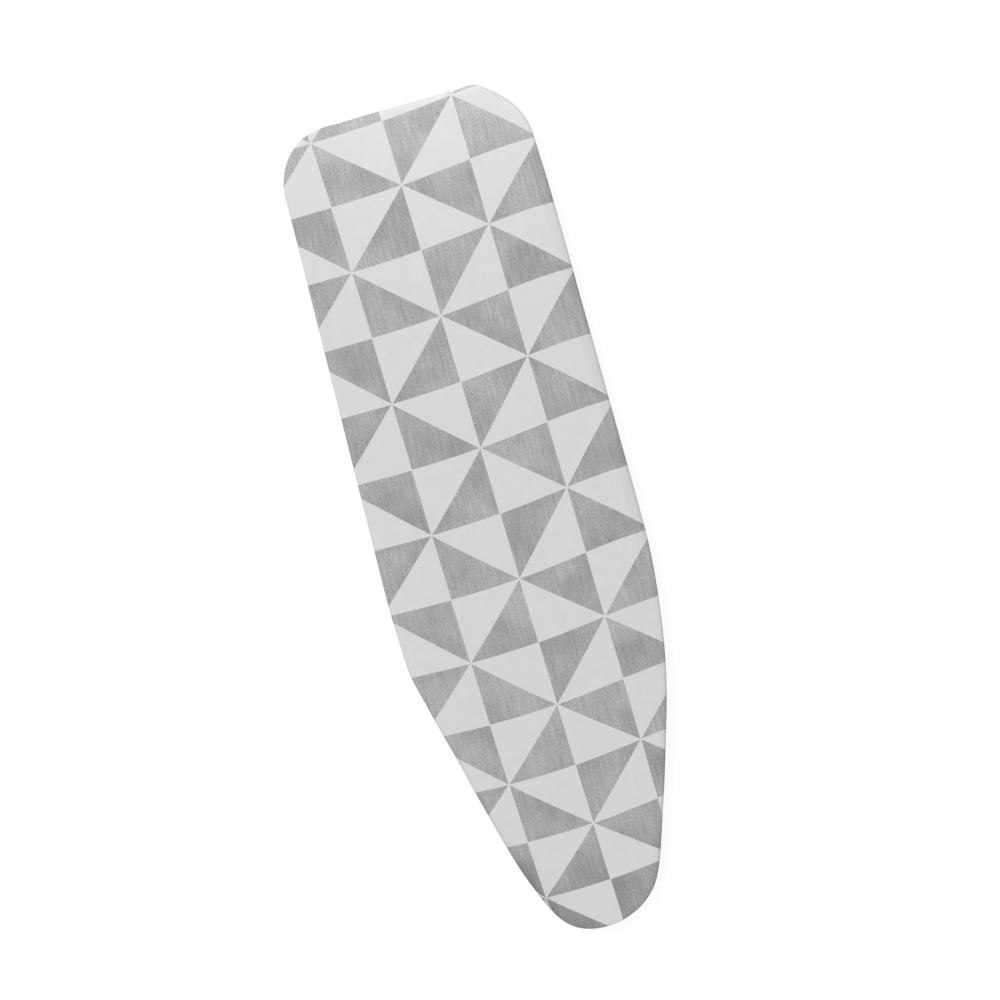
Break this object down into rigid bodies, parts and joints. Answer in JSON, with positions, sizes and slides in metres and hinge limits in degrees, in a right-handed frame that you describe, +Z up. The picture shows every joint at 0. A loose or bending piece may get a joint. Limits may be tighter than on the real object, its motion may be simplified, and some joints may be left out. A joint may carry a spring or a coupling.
{
  "type": "ironing board cover",
  "caption": "Fitted ironing board cover: pinwheel-printed cotton over foam and felt, elastic hem, and hook-and-loop straps across the underside.",
  "frame": {"origin": "centre of the cover's outline in plan, on the plane that it rests on", "axes": "+X from the square heel to the nose, +Y across to the side with the loop patches, +Z up through the ironing side"},
  "size_m": [1.2, 0.3802, 0.0376],
  "materials": {
    "printed_cotton": "tightly woven cotton with a matt coat, two-tone grey pinwheel print",
    "foam": "open-cell foam, matt",
    "felt": "needled felt, matt",
    "binding": "folded cotton strip with a row of stitches",
    "elastic": "woven elastic",
    "webbing": "ribbed woven elastic webbing",
    "hook": "stiff tape with rows of small hooks",
    "loop": "soft brushed loop pile"
  },
  "bodies": {
    "cover": {"cover_fabric": "printed_cotton", "foam_pad": "foam", "felt_pad": "felt", "hem_binding": "binding", "hem_elastic": "elastic", "strap_root_heel": "webbing", "loop_patch_heel": "loop", "strap_root_middle": "webbing", "loop_patch_middle": "loop", "strap_root_shoulder": "webbing", "loop_patch_shoulder": "loop"},
    "strap_heel": {"strap_band_heel": "webbing", "hook_tape_heel": "hook"},
    "strap_middle": {"strap_band_middle": "webbing", "hook_tape_middle": "hook"},
    "strap_shoulder": {"strap_band_shoulder": "webbing", "hook_tape_shoulder": "hook"}
  },
  "joints": [
    {"name": "strap_heel_swing", "type": "hinge", "parent": "cover", "child": "strap_heel", "pos_m": [-0.41, -0.12182, 0.0019], "axis": [-1, 0, 0], "range_deg": [0, 90]},
    {"name": "strap_middle_swing", "type": "hinge", "parent": "cover", "child": "strap_middle", "pos_m": [-0.195, -0.12467, 0.0019], "axis": [-1, 0, 0], "range_deg": [0, 90]},
    {"name": "strap_shoulder_swing", "type": "hinge", "parent": "cover", "child": "strap_shoulder", "pos_m": [0.02, -0.12752, 0.0019], "axis": [-1, 0, 0], "range_deg": [0, 90]}
  ]
}
